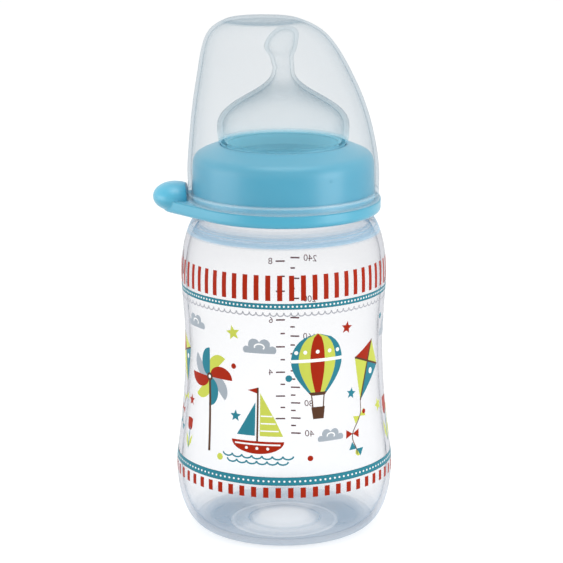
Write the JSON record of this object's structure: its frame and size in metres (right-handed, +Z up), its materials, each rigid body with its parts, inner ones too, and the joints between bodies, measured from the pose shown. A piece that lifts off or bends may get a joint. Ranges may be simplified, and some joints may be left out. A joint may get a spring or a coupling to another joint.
{
  "type": "baby bottle",
  "caption": "Clear waisted feeding bottle with a wide neck, a turquoise screw ring with a thumb tab, a soft oblique teat and a clear hood over it.",
  "frame": {"origin": "on the bottle's axis, in the plane of the foot that it stands on", "axes": "+Z up along the bottle's axis; the thumb tab points to -X and the long slope of the hood faces +X"},
  "size_m": [0.0779, 0.0712, 0.168],
  "materials": {
    "bottle_plastic": "clear gloss",
    "silicone": "clear, soft gloss",
    "ring_plastic": "gloss",
    "cap_plastic": "clear gloss"
  },
  "bodies": {
    "bottle": {"bottle_body": "bottle_plastic"},
    "teat": {"teat": "silicone"},
    "ring": {"screw_ring": "ring_plastic"},
    "cap": {"protective_cap": "cap_plastic"}
  },
  "joints": [
    {"name": "teat_lift", "type": "slide", "parent": "bottle", "child": "teat", "axis": [0, 0, 1], "range_m": [0, 0.0075]},
    {"name": "ring_turn", "type": "hinge", "parent": "teat", "child": "ring", "pos_m": [0, 0, 0.115], "axis": [0, 0, 1], "range_deg": [0, 450]},
    {"name": "cap_lift", "type": "slide", "parent": "ring", "child": "cap", "axis": [0, 0, 1], "range_m": [0, 0.062]}
  ],
  "couplings": [
    {"joint": "teat_lift", "follows": "ring_turn", "m_per_rad": 0.00095492}
  ]
}
